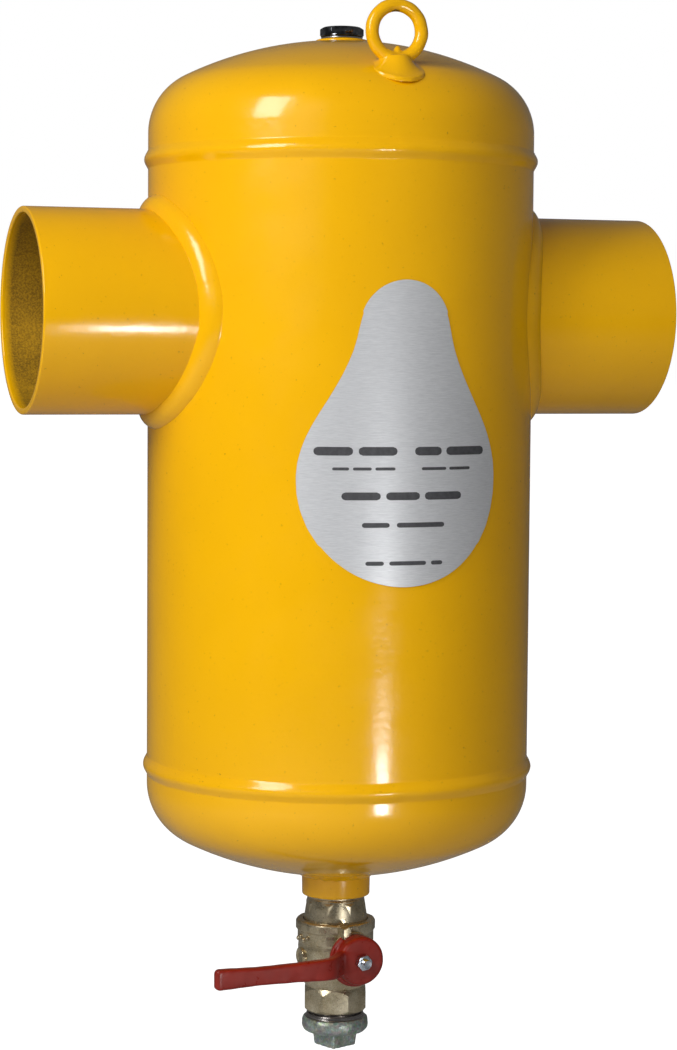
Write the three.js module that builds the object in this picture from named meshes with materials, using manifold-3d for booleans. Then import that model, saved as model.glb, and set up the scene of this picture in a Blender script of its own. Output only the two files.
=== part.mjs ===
// An in-line dirt separator for a heating system: a welded steel vessel with two weld-end pipe stubs,
// a bundle of wire-wound tubes inside, a vent plug and a lifting eye on top, and a lever ball valve with
// a blanking plug under the dirt chamber.
//
// Millimetres, +Z up. The origin is where the axis of the pipe run, X, crosses the vessel's axis, Z.
// The inlet is towards -X, and -Y is the front, where the label is.

import * as THREE from "three";
import { mergeVertices } from "three/addons/utils/BufferGeometryUtils.js";
import Module from "manifold-3d";

const wasm = await Module();
wasm.setup();

// ---------- Driving dimensions ----------

const GAP = 0.3; // left between pieces that touch, because meshes hold 32-bit numbers
const MERGE = 1e-4; // vertices closer than this are one vertex

const VESSEL_R = 109.55; // 219.1 mm pipe
const VESSEL_WALL = 4.5;
const VESSEL_BORE_R = VESSEL_R - VESSEL_WALL;
const VESSEL_SIDES = 48;
const TOP_SEAM_Z = 86.4;
const BOTTOM_SEAM_Z = -258.2;
const TOP_FLANGE = 15; // straight part of the dished end, above its seam
const BOTTOM_FLANGE = 10.5;
const KNUCKLE_R = 35;
const CROWN_R = 203;

const PIPE_R = 57.15; // 114.3 mm pipe
const PIPE_WALL = 3.6;
const PIPE_END_X = 185;
const PIPE_SIDES = 40;

const SEAM_HALF_WIDTH = 5.8;
const SEAM_CROWN = 2.4;
const BEVEL = 2.5; // weld preparation on each edge
const ROOT_FACE = 1.5;
const PIPE_WELD_ON_SHELL = 7;
const PIPE_WELD_ON_PIPE = 5.5;

const EYE_Y = -90;
const EYE_RING_R = 14.1; // to the middle of the bar
const EYE_BAR_R = 3.6;
const EYE_Z = 150;
const EYE_FOOT_R = 9.5;
const EYE_FOOT_LOW = 115; // below the dish's surface, which cuts the foot and its weld
const EYE_WELD_R = 15.5;

const VENT_SOCKET_R = 15;
const VENT_SOCKET_TOP = 154.9;
const VENT_SOCKET_LENGTH = 16;
const VENT_THREAD_R = 8.33; // G 3/8
const VENT_COLLAR_R = 12;
const VENT_HEAD_FLATS = 21.6;
const VENT_TOP = 162;

const DRAIN_SOCKET_R = 19.75; // G 1 half coupling
const DRAIN_SOCKET_TOP = -311;
const DRAIN_SOCKET_BOTTOM = -334.8;
const DRAIN_THREAD_R = 16.6; // G 1
const DRAIN_BORE_R = DRAIN_THREAD_R + 0.35;
const SOCKET_WELD = 4;

const VALVE_TURN = 5; // degrees from -Y towards +X that the stem points
const STEM_Z = -367;
const END_PIECE_TOP = -321;
const END_NUT_TOP = -337.5;
const END_NUT_FLATS = 33;
const BODY_TOP = -349;
const COLLAR_BOTTOM = -354.8;
const COLLAR_R = 23;
const BAND_BOTTOM = -362;
const BAND_R = 22;
const BARREL_R = 21.4;
const BARREL_BOTTOM = -378;
const BODY_NUT_TOP = -389.5;
const BODY_NUT_FLATS = 35.2;
const BODY_BOTTOM = -402.5;
const BALL_R = 15.5;
const VALVE_BORE_R = 10;
const CAVITY_R = 16.4;
const SEAT_R = 14.2;
const SEAT_OUT = 13.3; // from the ball's centre to the seat's far face
const SEAT_IN = 9;
const END_PIECE_BOTTOM = STEM_Z + SEAT_OUT + GAP;

const BOSS_R = 10;
const BOSS_FLANGE_R = 14.5;
const BOSS_FLANGE_BACK = 23.5; // outwards from the valve's axis, as every length along the stem is
const BOSS_FLANGE_FACE = 26.5;
const STEM_R = 4.2;
const STEM_BORE_R = 6.4;
const STEM_TIP = 45.5;
const STUD_R = 2.5;
const TANG_WIDTH = 8;
const TANG_THICKNESS = 4;
const TANG_TIP = 12.6;
const HUB_R = 13.8;
const HUB_BACK = 27.3;
const HUB_FACE = 37.4;
const HUB_RECESS_R = 11;
const HUB_RECESS_FLOOR = 33.4;
const LUG_ANGLE = 110; // degrees from the viewer's right, anticlockwise, seen along the stem from outside
const LUG_HALF_ANGLE = 8;
const LUG_R = 17.8;
const LUG_FACE = 30.5;
const SKIRT_R = 16.3;
const SKIRT_FACE = 30;
const LEVER_TURN = 90;
const LEVER_REACH = 93.6;
const LEVER_CRANK_START = 9;
const LEVER_CRANK_END = 23;
const LEVER_FACE = 49.6;
const LEVER_THICKNESS = 4.6;

const PLUG_FLANGE_R = 19.2;
const PLUG_FLANGE_TOP = -406.5;
const PLUG_FLANGE_BOTTOM = -414.8;
const PLUG_SQUARE = 18.6;
const PLUG_SQUARE_TURN = 16; // degrees from the valve's own frame
const PLUG_BOTTOM = -424;

const TUBE_COUNT_ROUND = 6; // plus one in the middle
const TUBE_PITCH_R = 62;
const SLEEVE_R = 29.5;
const SLEEVE_ROOT_R = 22;
const SLEEVE_PETALS = 9;
const SLEEVE_BOTTOM = -165;
const SLEEVE_TOP = 71.5;
const CORE_R = 6;
const CORE_WALL = 1;
const CORE_PAST_PLATE = 4;
const TUBE_PLATE_R = 92;
const TUBE_PLATE_THICKNESS = 3;
const BRACKET_THICKNESS = 5;

const LABEL_TOP = 17.3;
const LABEL_BOTTOM = -146.8;
const LABEL_BIG_R = 59.3;
const LABEL_SMALL_R = 25.5;
const LABEL_THICKNESS = 0.5;

// ---------- Materials ----------

function material(name, color, roughness, metalness) {
  return new THREE.MeshStandardMaterial({ name, color, roughness, metalness });
}

const YELLOW_PAINT = material("yellow_paint", 0xf5b400, 0.25, 0);
const SILVER_LABEL = material("silver_label", 0xc4c6cb, 0.35, 0.6);
const COPPER = material("copper", 0xb87348, 0.35, 1);
const STAINLESS = material("stainless", 0xb0b2b5, 0.35, 1);
const NICKEL = material("nickel", 0x6f7478, 0.18, 1);
const BRASS = material("nickelled_brass", 0x9a8c66, 0.35, 1);
const CHROME = material("chrome", 0xd6d8dc, 0.1, 1);
const PTFE = material("ptfe", 0xf0f0ec, 0.5, 0);
const RED_COAT = material("red_coating", 0x8c1f14, 0.4, 0);
const ZINC = material("zinc_plate", 0xb9c4cf, 0.3, 1);
const GALVANISED = material("galvanised_iron", 0x8e9894, 0.5, 1);

// ---------- Helpers ----------

const radians = THREE.MathUtils.degToRad;

// A closed geometry as a solid that can be joined and cut.
function solid(geometry) {
  const bare = geometry.index ? geometry.toNonIndexed() : geometry.clone();
  bare.deleteAttribute("normal");
  bare.deleteAttribute("uv");
  const merged = mergeVertices(bare, MERGE);
  const corners = merged.index.array;
  const kept = [];
  for (let i = 0; i < corners.length; i += 3) {
    const [a, b, c] = corners.slice(i, i + 3);
    if (a !== b && b !== c && c !== a) kept.push(a, b, c);
  }
  const vertProperties = merged.attributes.position.array;
  return new wasm.Manifold(
    new wasm.Mesh({ numProp: 3, vertProperties, triVerts: new Uint32Array(kept) }),
  );
}

function geometryOf(made) {
  const mesh = made.getMesh();
  const geometry = new THREE.BufferGeometry()
    .setAttribute("position", new THREE.BufferAttribute(mesh.vertProperties, 3))
    .setIndex(new THREE.BufferAttribute(mesh.triVerts, 1));
  geometry.computeVertexNormals();
  return geometry;
}

// Adds one named piece to a group. The piece is a geometry, or a solid from solid().
function add(group, name, piece, finish) {
  const made = piece.isBufferGeometry ? solid(piece) : piece;
  const mesh = new THREE.Mesh(geometryOf(made), finish);
  mesh.name = name;
  group.add(mesh);
  return mesh;
}

// A solid of revolution about Z. The outline is [radius, height] pairs, anticlockwise: outwards along the
// bottom, up the outside, back along the top.
function turned(outline, sides) {
  return new THREE.LatheGeometry(points(outline), sides).rotateX(Math.PI / 2);
}

// A ring about Z, whose section closes on itself.
function turnedRing(section, sides) {
  return turned([...section, section[0]], sides);
}

// A tube or ring about Z, with a square section.
function ring(inner, outer, low, high, sides) {
  return turnedRing([[inner, low], [outer, low], [outer, high], [inner, high]], sides);
}

function cylinder(radius, low, high, sides) {
  return turned([[0, low], [radius, low], [radius, high], [0, high]], sides);
}

// A regular prism about Z, with one corner towards -Y.
function prism(sides, acrossFlats, low, high) {
  return cylinder(acrossFlats / 2 / Math.cos(Math.PI / sides), low, high, sides);
}

// The points of an arc in the [radius, height] plane, from one angle to another, in degrees.
function arc(centre, radius, from, to, steps) {
  return Array.from({ length: steps + 1 }, (_, i) => {
    const angle = radians(from + ((to - from) * i) / steps);
    return [centre[0] + radius * Math.cos(angle), centre[1] + radius * Math.sin(angle)];
  });
}

// A shape in the XY plane, extruded along +Z.
function extruded(shape, depth) {
  return new THREE.ExtrudeGeometry(shape, { depth, bevelEnabled: false });
}

function points(pairs) {
  return pairs.map(([x, y]) => new THREE.Vector2(x, y));
}

// Turns a shape drawn about +Z so that +Z points outwards along the valve's stem.
function alongStem(geometry) {
  return geometry.rotateX(Math.PI / 2).translate(0, 0, STEM_Z);
}

// ---------- Vessel ----------

// The outside of a torispherical end, as [radius, height above its straight flange], offset outwards.
function dishOutline(offset) {
  const across = VESSEL_R - KNUCKLE_R;
  const down = Math.sqrt((CROWN_R - KNUCKLE_R) ** 2 - across ** 2);
  const meet = THREE.MathUtils.radToDeg(Math.atan2(down, across));
  return [
    ...arc([across, 0], KNUCKLE_R + offset, 0, meet, 4),
    ...arc([0, -down], CROWN_R + offset, meet, 90, 3).slice(1),
  ];
}

// The part of an outline outside a hole about the axis, ending on the hole's edge.
function stopAtHole(outline, hole) {
  const first = outline.findIndex(([radius]) => radius < hole);
  const [r0, h0] = outline[first - 1];
  const [r1, h1] = outline[first];
  const share = (r0 - hole) / (r0 - r1);
  return [...outline.slice(0, first), [hole, h0 + share * (h1 - h0)]];
}

// A dished end with a straight flange and a hole for a socket, its seam edge at height 0 and bevelled.
function dishedEnd(flange, hole) {
  const outer = stopAtHole(dishOutline(0), hole);
  const inner = stopAtHole(dishOutline(-VESSEL_WALL), hole).reverse();
  const lift = ([radius, height]) => [radius, height + flange];
  const edge = [[VESSEL_BORE_R, GAP / 2], [VESSEL_BORE_R + ROOT_FACE, GAP / 2], [VESSEL_R, BEVEL]];
  return turnedRing([...edge, ...outer.map(lift), ...inner.map(lift)], VESSEL_SIDES);
}

function shell() {
  const [low, high] = [BOTTOM_SEAM_Z + GAP / 2, TOP_SEAM_Z - GAP / 2];
  const root = VESSEL_BORE_R + ROOT_FACE;
  const wall = turnedRing(
    [
      [VESSEL_BORE_R, low],
      [root, low],
      [VESSEL_R, BOTTOM_SEAM_Z + BEVEL],
      [VESSEL_R, TOP_SEAM_Z - BEVEL],
      [root, high],
      [VESSEL_BORE_R, high],
    ],
    VESSEL_SIDES,
  );
  const pipeHole = cylinder(PIPE_R + GAP, -VESSEL_R - 5, VESSEL_R + 5, PIPE_SIDES).rotateY(Math.PI / 2);
  return solid(wall).subtract(solid(pipeHole));
}

// The weld bead round a vessel seam: a V in the bevelled joint under a rounded cap.
function seamWeld(z) {
  const foot = VESSEL_R + GAP;
  const root = VESSEL_BORE_R + ROOT_FACE + 0.8;
  return turnedRing(
    [
      [root, z],
      [foot, z - BEVEL + GAP],
      [foot, z - SEAM_HALF_WIDTH],
      [VESSEL_R + SEAM_CROWN, z - 0.35 * SEAM_HALF_WIDTH],
      [VESSEL_R + SEAM_CROWN, z + 0.35 * SEAM_HALF_WIDTH],
      [foot, z + SEAM_HALF_WIDTH],
      [foot, z + BEVEL - GAP],
    ],
    VESSEL_SIDES,
  );
}

// A pipe stub towards +X, with a square-cut weld end, cut off flush with the vessel's bore.
function pipeStub() {
  const tube = ring(PIPE_R - PIPE_WALL, PIPE_R, 0, PIPE_END_X, PIPE_SIDES).rotateY(Math.PI / 2);
  const inside = cylinder(VESSEL_BORE_R, -VESSEL_R, VESSEL_R, VESSEL_SIDES);
  const core = new THREE.BoxGeometry(VESSEL_R, 2 * VESSEL_R, 2 * VESSEL_R);
  return solid(tube).subtract(solid(inside)).subtract(solid(core));
}

// The fillet weld round a pipe stub towards +X. Each section lies in a plane through the pipe's axis, and
// follows the vessel's round wall.
function pipeWeld() {
  const shellX = (radius, turn) => Math.sqrt((VESSEL_R + GAP) ** 2 - (radius * Math.cos(turn)) ** 2);
  const inner = PIPE_R + GAP;
  const middle = inner + 0.5 * PIPE_WELD_ON_SHELL;
  const outer = inner + PIPE_WELD_ON_SHELL;
  const section = (turn) => [
    [inner, shellX(inner, turn)],
    [inner, shellX(inner, turn) + PIPE_WELD_ON_PIPE],
    [middle, shellX(middle, turn) + 0.45 * PIPE_WELD_ON_PIPE],
    [outer, shellX(outer, turn) + 0.4],
    [outer, shellX(outer, turn)],
  ];
  const positions = [];
  const index = [];
  const around = PIPE_SIDES;
  const corners = section(0).length;
  for (let i = 0; i < around; i++) {
    const turn = (2 * Math.PI * i) / around;
    for (const [radius, x] of section(turn)) {
      positions.push(x, radius * Math.cos(turn), radius * Math.sin(turn));
    }
    for (let j = 0; j < corners; j++) {
      const next = (i + 1) % around;
      const a = i * corners + j;
      const b = i * corners + ((j + 1) % corners);
      const c = next * corners + ((j + 1) % corners);
      const d = next * corners + j;
      index.push(a, b, c, a, c, d);
    }
  }
  const geometry = new THREE.BufferGeometry();
  geometry.setAttribute("position", new THREE.Float32BufferAttribute(positions, 3));
  geometry.setIndex(index);
  return geometry;
}

// ---------- Lifting eye, sockets, vent plug, label ----------

function topDishSolid(offset) {
  const base = TOP_SEAM_Z + TOP_FLANGE;
  const outline = dishOutline(offset).map(([radius, height]) => [radius, height + base]);
  outline[outline.length - 1][0] = 0;
  return solid(turned([[0, TOP_SEAM_Z], [VESSEL_R + offset, TOP_SEAM_Z], ...outline], VESSEL_SIDES));
}

function liftingEye() {
  const bar = new THREE.TorusGeometry(EYE_RING_R, EYE_BAR_R, 8, 24);
  bar.rotateX(Math.PI / 2).translate(0, EYE_Y, EYE_Z);
  const top = EYE_Z - EYE_RING_R + 1.5;
  const foot = turned(
    [[0, EYE_FOOT_LOW], [EYE_FOOT_R, EYE_FOOT_LOW], [EYE_FOOT_R, top - 4], [5, top], [0, top]],
    20,
  );
  return solid(bar).add(solid(foot.translate(0, EYE_Y, 0))).subtract(topDishSolid(GAP));
}

function eyeWeld() {
  const top = EYE_Z - EYE_RING_R - 3;
  const inner = EYE_FOOT_R + GAP;
  const [low, outer] = [EYE_FOOT_LOW, EYE_WELD_R];
  const cone = turnedRing(
    [[inner, low], [outer, low], [outer, top - 9.5], [EYE_FOOT_R + 1.6, top], [inner, top]],
    20,
  );
  return solid(cone.translate(0, EYE_Y, 0)).subtract(topDishSolid(GAP));
}

function ventSocket() {
  const [low, high] = [VENT_SOCKET_TOP - VENT_SOCKET_LENGTH, VENT_SOCKET_TOP];
  const bore = VENT_THREAD_R + 0.37;
  return turnedRing(
    [[bore, low], [VENT_SOCKET_R, low], [VENT_SOCKET_R, high - 1], [VENT_SOCKET_R - 1, high], [bore, high]],
    24,
  );
}

function ventPlug() {
  const seat = VENT_SOCKET_TOP + 1.6;
  const collar = seat + 1.3;
  const shank = turned(
    [
      [0, seat - 12],
      [VENT_THREAD_R, seat - 12],
      [VENT_THREAD_R, seat],
      [VENT_COLLAR_R, seat],
      [VENT_COLLAR_R, collar],
      [8, collar + 1],
      [0, collar + 1],
    ],
    24,
  );
  const head = solid(prism(6, VENT_HEAD_FLATS, collar - 0.5, VENT_TOP).rotateZ(radians(12)));
  const chamfer = turned(
    [[0, collar - 1], [14, collar - 1], [14, VENT_TOP - 1.8], [10.6, VENT_TOP], [0, VENT_TOP]],
    24,
  );
  return solid(shank).add(head.intersect(solid(chamfer)));
}

function drainSocket() {
  const [low, high] = [DRAIN_SOCKET_BOTTOM, DRAIN_SOCKET_TOP];
  const [bore, outer] = [DRAIN_BORE_R, DRAIN_SOCKET_R];
  return turnedRing([[bore, low], [outer - 1, low], [outer, low + 1], [outer, high], [bore, high]], 32);
}

// The fillet weld between the lower dished end and the drain socket.
function drainSocketWeld() {
  const apex = BOTTOM_SEAM_Z - BOTTOM_FLANGE - dishOutline(0).at(-1)[1];
  const inner = DRAIN_SOCKET_R + GAP;
  const outer = DRAIN_SOCKET_R + SOCKET_WELD;
  const low = apex - SOCKET_WELD;
  return turnedRing(
    [[inner, low], [inner + 1, low], [outer, apex + 0.3], [outer, apex + 0.7], [inner, apex + 0.4]],
    32,
  );
}

// The label's outline unrolled flat, as [distance round the wall, height]: a drop with its small end up.
function labelOutline() {
  const bigZ = LABEL_BOTTOM + LABEL_BIG_R;
  const smallZ = LABEL_TOP - LABEL_SMALL_R;
  const bottom = arc([0, bigZ], LABEL_BIG_R, -90, 24, 9);
  const top = arc([0, smallZ], LABEL_SMALL_R, 0, 90, 6);
  const flank = new THREE.CubicBezierCurve(
    new THREE.Vector2(...bottom.at(-1)),
    new THREE.Vector2(bottom.at(-1)[0] - 8, bottom.at(-1)[1] + 18),
    new THREE.Vector2(LABEL_SMALL_R + 3, smallZ - 22),
    new THREE.Vector2(LABEL_SMALL_R, smallZ),
  );
  const side = flank.getPoints(7).slice(1, -1).map((point) => [point.x, point.y]);
  const right = [...bottom, ...side, ...top];
  const left = right.slice(1, -1).reverse().map(([x, z]) => [-x, z]);
  return [...right, ...left];
}

function label() {
  const rolled = labelOutline().map(([x, z]) => [VESSEL_R * Math.sin(x / VESSEL_R), z]);
  const cutter = extruded(new THREE.Shape(points(rolled)), 2 * VESSEL_R);
  const back = VESSEL_R + GAP;
  const sheet = ring(back, back + LABEL_THICKNESS, LABEL_BOTTOM - 5, LABEL_TOP + 5, VESSEL_SIDES);
  return solid(cutter.rotateX(Math.PI / 2)).intersect(solid(sheet));
}

// ---------- Tube bundle inside the vessel ----------

function tubeCentres() {
  const round = Array.from({ length: TUBE_COUNT_ROUND }, (_, i) => {
    const turn = radians(90 + (360 / TUBE_COUNT_ROUND) * i);
    return [TUBE_PITCH_R * Math.cos(turn), TUBE_PITCH_R * Math.sin(turn)];
  });
  return [[0, 0], ...round];
}

function circleHole(x, y, radius, sides) {
  const hole = new THREE.Path();
  const corners = Array.from({ length: sides }, (_, i) => {
    const turn = (2 * Math.PI * i) / sides;
    return new THREE.Vector2(x + radius * Math.cos(turn), y + radius * Math.sin(turn));
  });
  return hole.setFromPoints(corners.reverse());
}

// A disc that holds the core tubes' ends, with an open ring between its rim and the vessel's wall.
function tubePlate(low) {
  const outline = new THREE.Shape(circleHole(0, 0, TUBE_PLATE_R, 36).getPoints().reverse());
  for (const [x, y] of tubeCentres()) {
    outline.holes.push(circleHole(x, y, CORE_R + 2 * GAP, 8));
  }
  return extruded(outline, TUBE_PLATE_THICKNESS).translate(0, 0, low);
}

function coreTube() {
  const past = TUBE_PLATE_THICKNESS + CORE_PAST_PLATE;
  return ring(CORE_R - CORE_WALL, CORE_R, SLEEVE_BOTTOM - past, SLEEVE_TOP + past, 10);
}

// Loops of copper wire wound on a core tube, as one fluted column.
function wireSleeve() {
  const petals = Array.from({ length: 2 * SLEEVE_PETALS }, (_, i) => {
    const radius = i % 2 ? SLEEVE_ROOT_R : SLEEVE_R;
    const turn = (Math.PI * i) / SLEEVE_PETALS;
    return new THREE.Vector2(radius * Math.cos(turn), radius * Math.sin(turn));
  });
  const outline = new THREE.Shape(petals);
  outline.holes.push(circleHole(0, 0, CORE_R + 2 * GAP, 10));
  return extruded(outline, SLEEVE_TOP - SLEEVE_BOTTOM - 2 * GAP).translate(0, 0, SLEEVE_BOTTOM + GAP);
}

// A bracket on the vessel's wall under the lower tube plate.
function bracket(turn) {
  const top = SLEEVE_BOTTOM - TUBE_PLATE_THICKNESS - GAP;
  const near = TUBE_PLATE_R - 4;
  const wall = VESSEL_BORE_R - 0.85; // clear of the bore, whose flat sides come in a little
  const side = new THREE.Shape(points([[near, top], [near, top - 5], [wall, top - 22], [wall, top]]));
  const plate = extruded(side, BRACKET_THICKNESS).translate(0, 0, -BRACKET_THICKNESS / 2);
  return plate.rotateX(Math.PI / 2).rotateZ(radians(turn));
}

// ---------- Drain valve ----------

function endPiece() {
  const shaft = turned(
    [
      [0, END_PIECE_BOTTOM],
      [18.4, END_PIECE_BOTTOM],
      [18.4, BODY_TOP + 2],
      [16, END_NUT_TOP],
      [DRAIN_THREAD_R, END_NUT_TOP + 1.5],
      [DRAIN_THREAD_R, END_PIECE_TOP - 1],
      [DRAIN_THREAD_R - 1, END_PIECE_TOP],
      [0, END_PIECE_TOP],
    ],
    28,
  );
  const nut = solid(prism(8, END_NUT_FLATS, BODY_TOP + GAP, END_NUT_TOP + 1).rotateZ(radians(5)));
  const chamfer = turned(
    [[0, BODY_TOP], [19, BODY_TOP], [19, END_NUT_TOP - 2.2], [15.5, END_NUT_TOP + 1], [0, END_NUT_TOP + 1]],
    28,
  );
  const bore = solid(cylinder(VALVE_BORE_R, BODY_TOP - 10, END_PIECE_TOP + 1, 20));
  return solid(shaft).add(nut.intersect(solid(chamfer))).subtract(bore);
}

function sector(innerR, outerR, fromDegrees, toDegrees, low, high, steps) {
  const far = arc([0, 0], outerR, fromDegrees, toDegrees, steps);
  const near = arc([0, 0], innerR, toDegrees, fromDegrees, steps);
  return extruded(new THREE.Shape(points([...far, ...near])), high - low).translate(0, 0, low);
}

function valveBody() {
  const outside = turned(
    [
      [0, BODY_BOTTOM],
      [16, BODY_BOTTOM],
      [17.3, BODY_NUT_TOP],
      [BARREL_R, BARREL_BOTTOM],
      [BARREL_R, BAND_BOTTOM - 0.4],
      [BAND_R, BAND_BOTTOM],
      [BAND_R, COLLAR_BOTTOM - 0.5],
      [COLLAR_R, COLLAR_BOTTOM],
      [COLLAR_R, BODY_TOP - 1],
      [COLLAR_R - 1, BODY_TOP],
      [0, BODY_TOP],
    ],
    32,
  );
  const nut = solid(prism(8, BODY_NUT_FLATS, BODY_BOTTOM, BODY_NUT_TOP));
  const chamfer = turned(
    [
      [0, BODY_BOTTOM],
      [16.8, BODY_BOTTOM],
      [19.3, BODY_BOTTOM + 2.2],
      [19.3, BODY_NUT_TOP - 1.5],
      [17, BODY_NUT_TOP],
      [0, BODY_NUT_TOP],
    ],
    32,
  );
  const boss = solid(alongStem(cylinder(BOSS_R, CAVITY_R + 1, BOSS_FLANGE_FACE, 20)));
  const flange = solid(alongStem(cylinder(BOSS_FLANGE_R, BOSS_FLANGE_BACK, BOSS_FLANGE_FACE, 24)));
  const [from, to] = [LUG_ANGLE - LUG_HALF_ANGLE, LUG_ANGLE + LUG_HALF_ANGLE];
  const lugFoot = solid(alongStem(sector(12, LUG_R, from, to, BOSS_FLANGE_BACK, BOSS_FLANGE_FACE, 2)));
  const lug = solid(alongStem(sector(HUB_R + 0.5, LUG_R, from, to, BOSS_FLANGE_BACK, LUG_FACE, 2)));
  const passage = turned(
    [
      [0, BODY_BOTTOM - 1],
      [DRAIN_BORE_R, BODY_BOTTOM - 1],
      [DRAIN_BORE_R, STEM_Z - SEAT_OUT - 6],
      [VALVE_BORE_R, STEM_Z - SEAT_OUT - 3],
      [VALVE_BORE_R, STEM_Z - SEAT_OUT - GAP],
      [CAVITY_R, STEM_Z - SEAT_OUT - GAP],
      [CAVITY_R, END_PIECE_BOTTOM - GAP],
      [18.8, END_PIECE_BOTTOM - GAP],
      [18.8, BODY_TOP + 1],
      [0, BODY_TOP + 1],
    ],
    28,
  );
  const stemBore = solid(alongStem(cylinder(STEM_BORE_R, 10, BOSS_FLANGE_FACE + 1, 20)));
  return solid(outside)
    .add(nut.intersect(solid(chamfer)))
    .add(boss)
    .add(flange)
    .add(lugFoot)
    .add(lug)
    .subtract(solid(passage))
    .subtract(stemBore);
}

// A seat ring on one side of the ball: side is +1 above it and -1 below it.
function seat(side) {
  const inner = VALVE_BORE_R + GAP;
  const section = [[inner, SEAT_OUT], [inner, 12.3], [13.2, SEAT_IN], [SEAT_R, SEAT_IN], [SEAT_R, SEAT_OUT]];
  const placed = section.map(([radius, height]) => [radius, STEM_Z + side * height]);
  if (side < 0) placed.reverse();
  return turnedRing(placed, 24);
}

function ball() {
  const outline = arc([0, STEM_Z], BALL_R, -90, 90, 12).map(([radius, z]) => [Math.max(radius, 0), z]);
  const across = cylinder(VALVE_BORE_R, -BALL_R - 1, BALL_R + 1, 20);
  across.rotateY(Math.PI / 2).translate(0, 0, STEM_Z);
  const slot = new THREE.BoxGeometry(2 * BALL_R, TANG_THICKNESS + 2 * GAP, 10);
  slot.translate(0, 0, TANG_TIP - GAP + 5);
  return solid(turned(outline, 24)).subtract(solid(across)).subtract(solid(alongStem(slot)));
}

function stem() {
  const shoulder = HUB_RECESS_FLOOR + 2;
  const shaft = turned(
    [
      [0, 16.3],
      [5.9, 16.3],
      [5.9, 18.6],
      [STEM_R, 18.6],
      [STEM_R, shoulder],
      [STUD_R, shoulder],
      [STUD_R, STEM_TIP],
      [0, STEM_TIP],
    ],
    16,
  );
  const tang = new THREE.BoxGeometry(TANG_WIDTH, TANG_THICKNESS, 4.5).translate(0, 0, TANG_TIP + 2.25);
  return solid(alongStem(shaft)).add(solid(alongStem(tang)));
}

function glandNut() {
  const nut = solid(alongStem(prism(6, 15, BOSS_FLANGE_FACE + GAP, BOSS_FLANGE_FACE + 4)));
  const spigot = solid(alongStem(cylinder(STEM_BORE_R - GAP, BOSS_FLANGE_FACE - 2, BOSS_FLANGE_FACE + 1, 16)));
  const bore = solid(alongStem(cylinder(STEM_R + GAP, 0, 50, 16)));
  return nut.add(spigot).subtract(bore);
}

// The lever points towards -X: its plan, seen along the stem from outside, cut to its cranked side view.
function lever() {
  const rim = [[HUB_R, HUB_BACK], [HUB_R, HUB_FACE - 1.5], [HUB_R - 1.5, HUB_FACE]];
  const hub = solid(turned([[0, HUB_BACK], ...rim, [0, HUB_FACE]], 32));
  const recess = solid(cylinder(HUB_RECESS_R, HUB_BACK - 1, HUB_RECESS_FLOOR, 24));
  const stemHole = solid(cylinder(STEM_R + GAP, 0, HUB_RECESS_FLOOR + 2 + GAP, 16));
  const hole = solid(cylinder(STUD_R + GAP, 0, 50, 12)).add(stemHole);
  const clear = LUG_HALF_ANGLE + 1;
  const [from, to] = [LUG_ANGLE + clear, LUG_ANGLE + 360 - LEVER_TURN - clear];
  const skirt = solid(sector(HUB_R - 2, SKIRT_R, from, to, HUB_BACK, SKIRT_FACE, 18));
  const edge = new THREE.SplineCurve(
    points([[-6, 6.4], [-23, 6.2], [-45, 5.3], [-68, 4.9], [-86, 5.6], [-LEVER_REACH + 2.5, 5.9]]),
  ).getPoints(12);
  const tip = points([[-LEVER_REACH + 0.6, 4.6], [-LEVER_REACH, 2.5]]);
  const upper = [...edge, ...tip];
  const lower = upper.map((point) => new THREE.Vector2(point.x, -point.y)).reverse();
  const plan = extruded(new THREE.Shape([...upper, ...lower]), 60);
  const side = points([
    [-4, HUB_FACE - LEVER_THICKNESS],
    [-4, HUB_FACE],
    [-LEVER_CRANK_START, HUB_FACE],
    [-LEVER_CRANK_END, LEVER_FACE],
    [-LEVER_REACH - 1, LEVER_FACE],
    [-LEVER_REACH - 1, LEVER_FACE - LEVER_THICKNESS - 1.4],
    [-LEVER_CRANK_END - 1.5, LEVER_FACE - LEVER_THICKNESS],
    [-LEVER_CRANK_START - 2, HUB_FACE - LEVER_THICKNESS],
  ]);
  const sideView = extruded(new THREE.Shape(side), 40);
  const arm = solid(plan).intersect(solid(sideView.rotateX(Math.PI / 2).translate(0, 20, 0)));
  const made = hub.add(skirt).subtract(recess).add(arm).subtract(hole);
  return geometryOf(made);
}

function leverNut() {
  const nut = solid(alongStem(prism(6, 8, HUB_FACE + GAP, HUB_FACE + 4.2)));
  const [low, high] = [HUB_FACE + 4, HUB_FACE + 5.6];
  const collar = solid(alongStem(turned([[0, low], [3.6, low], [3.4, high], [0, high]], 16)));
  return nut.add(collar).subtract(solid(alongStem(cylinder(STUD_R + GAP, 0, 60, 12))));
}

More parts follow.
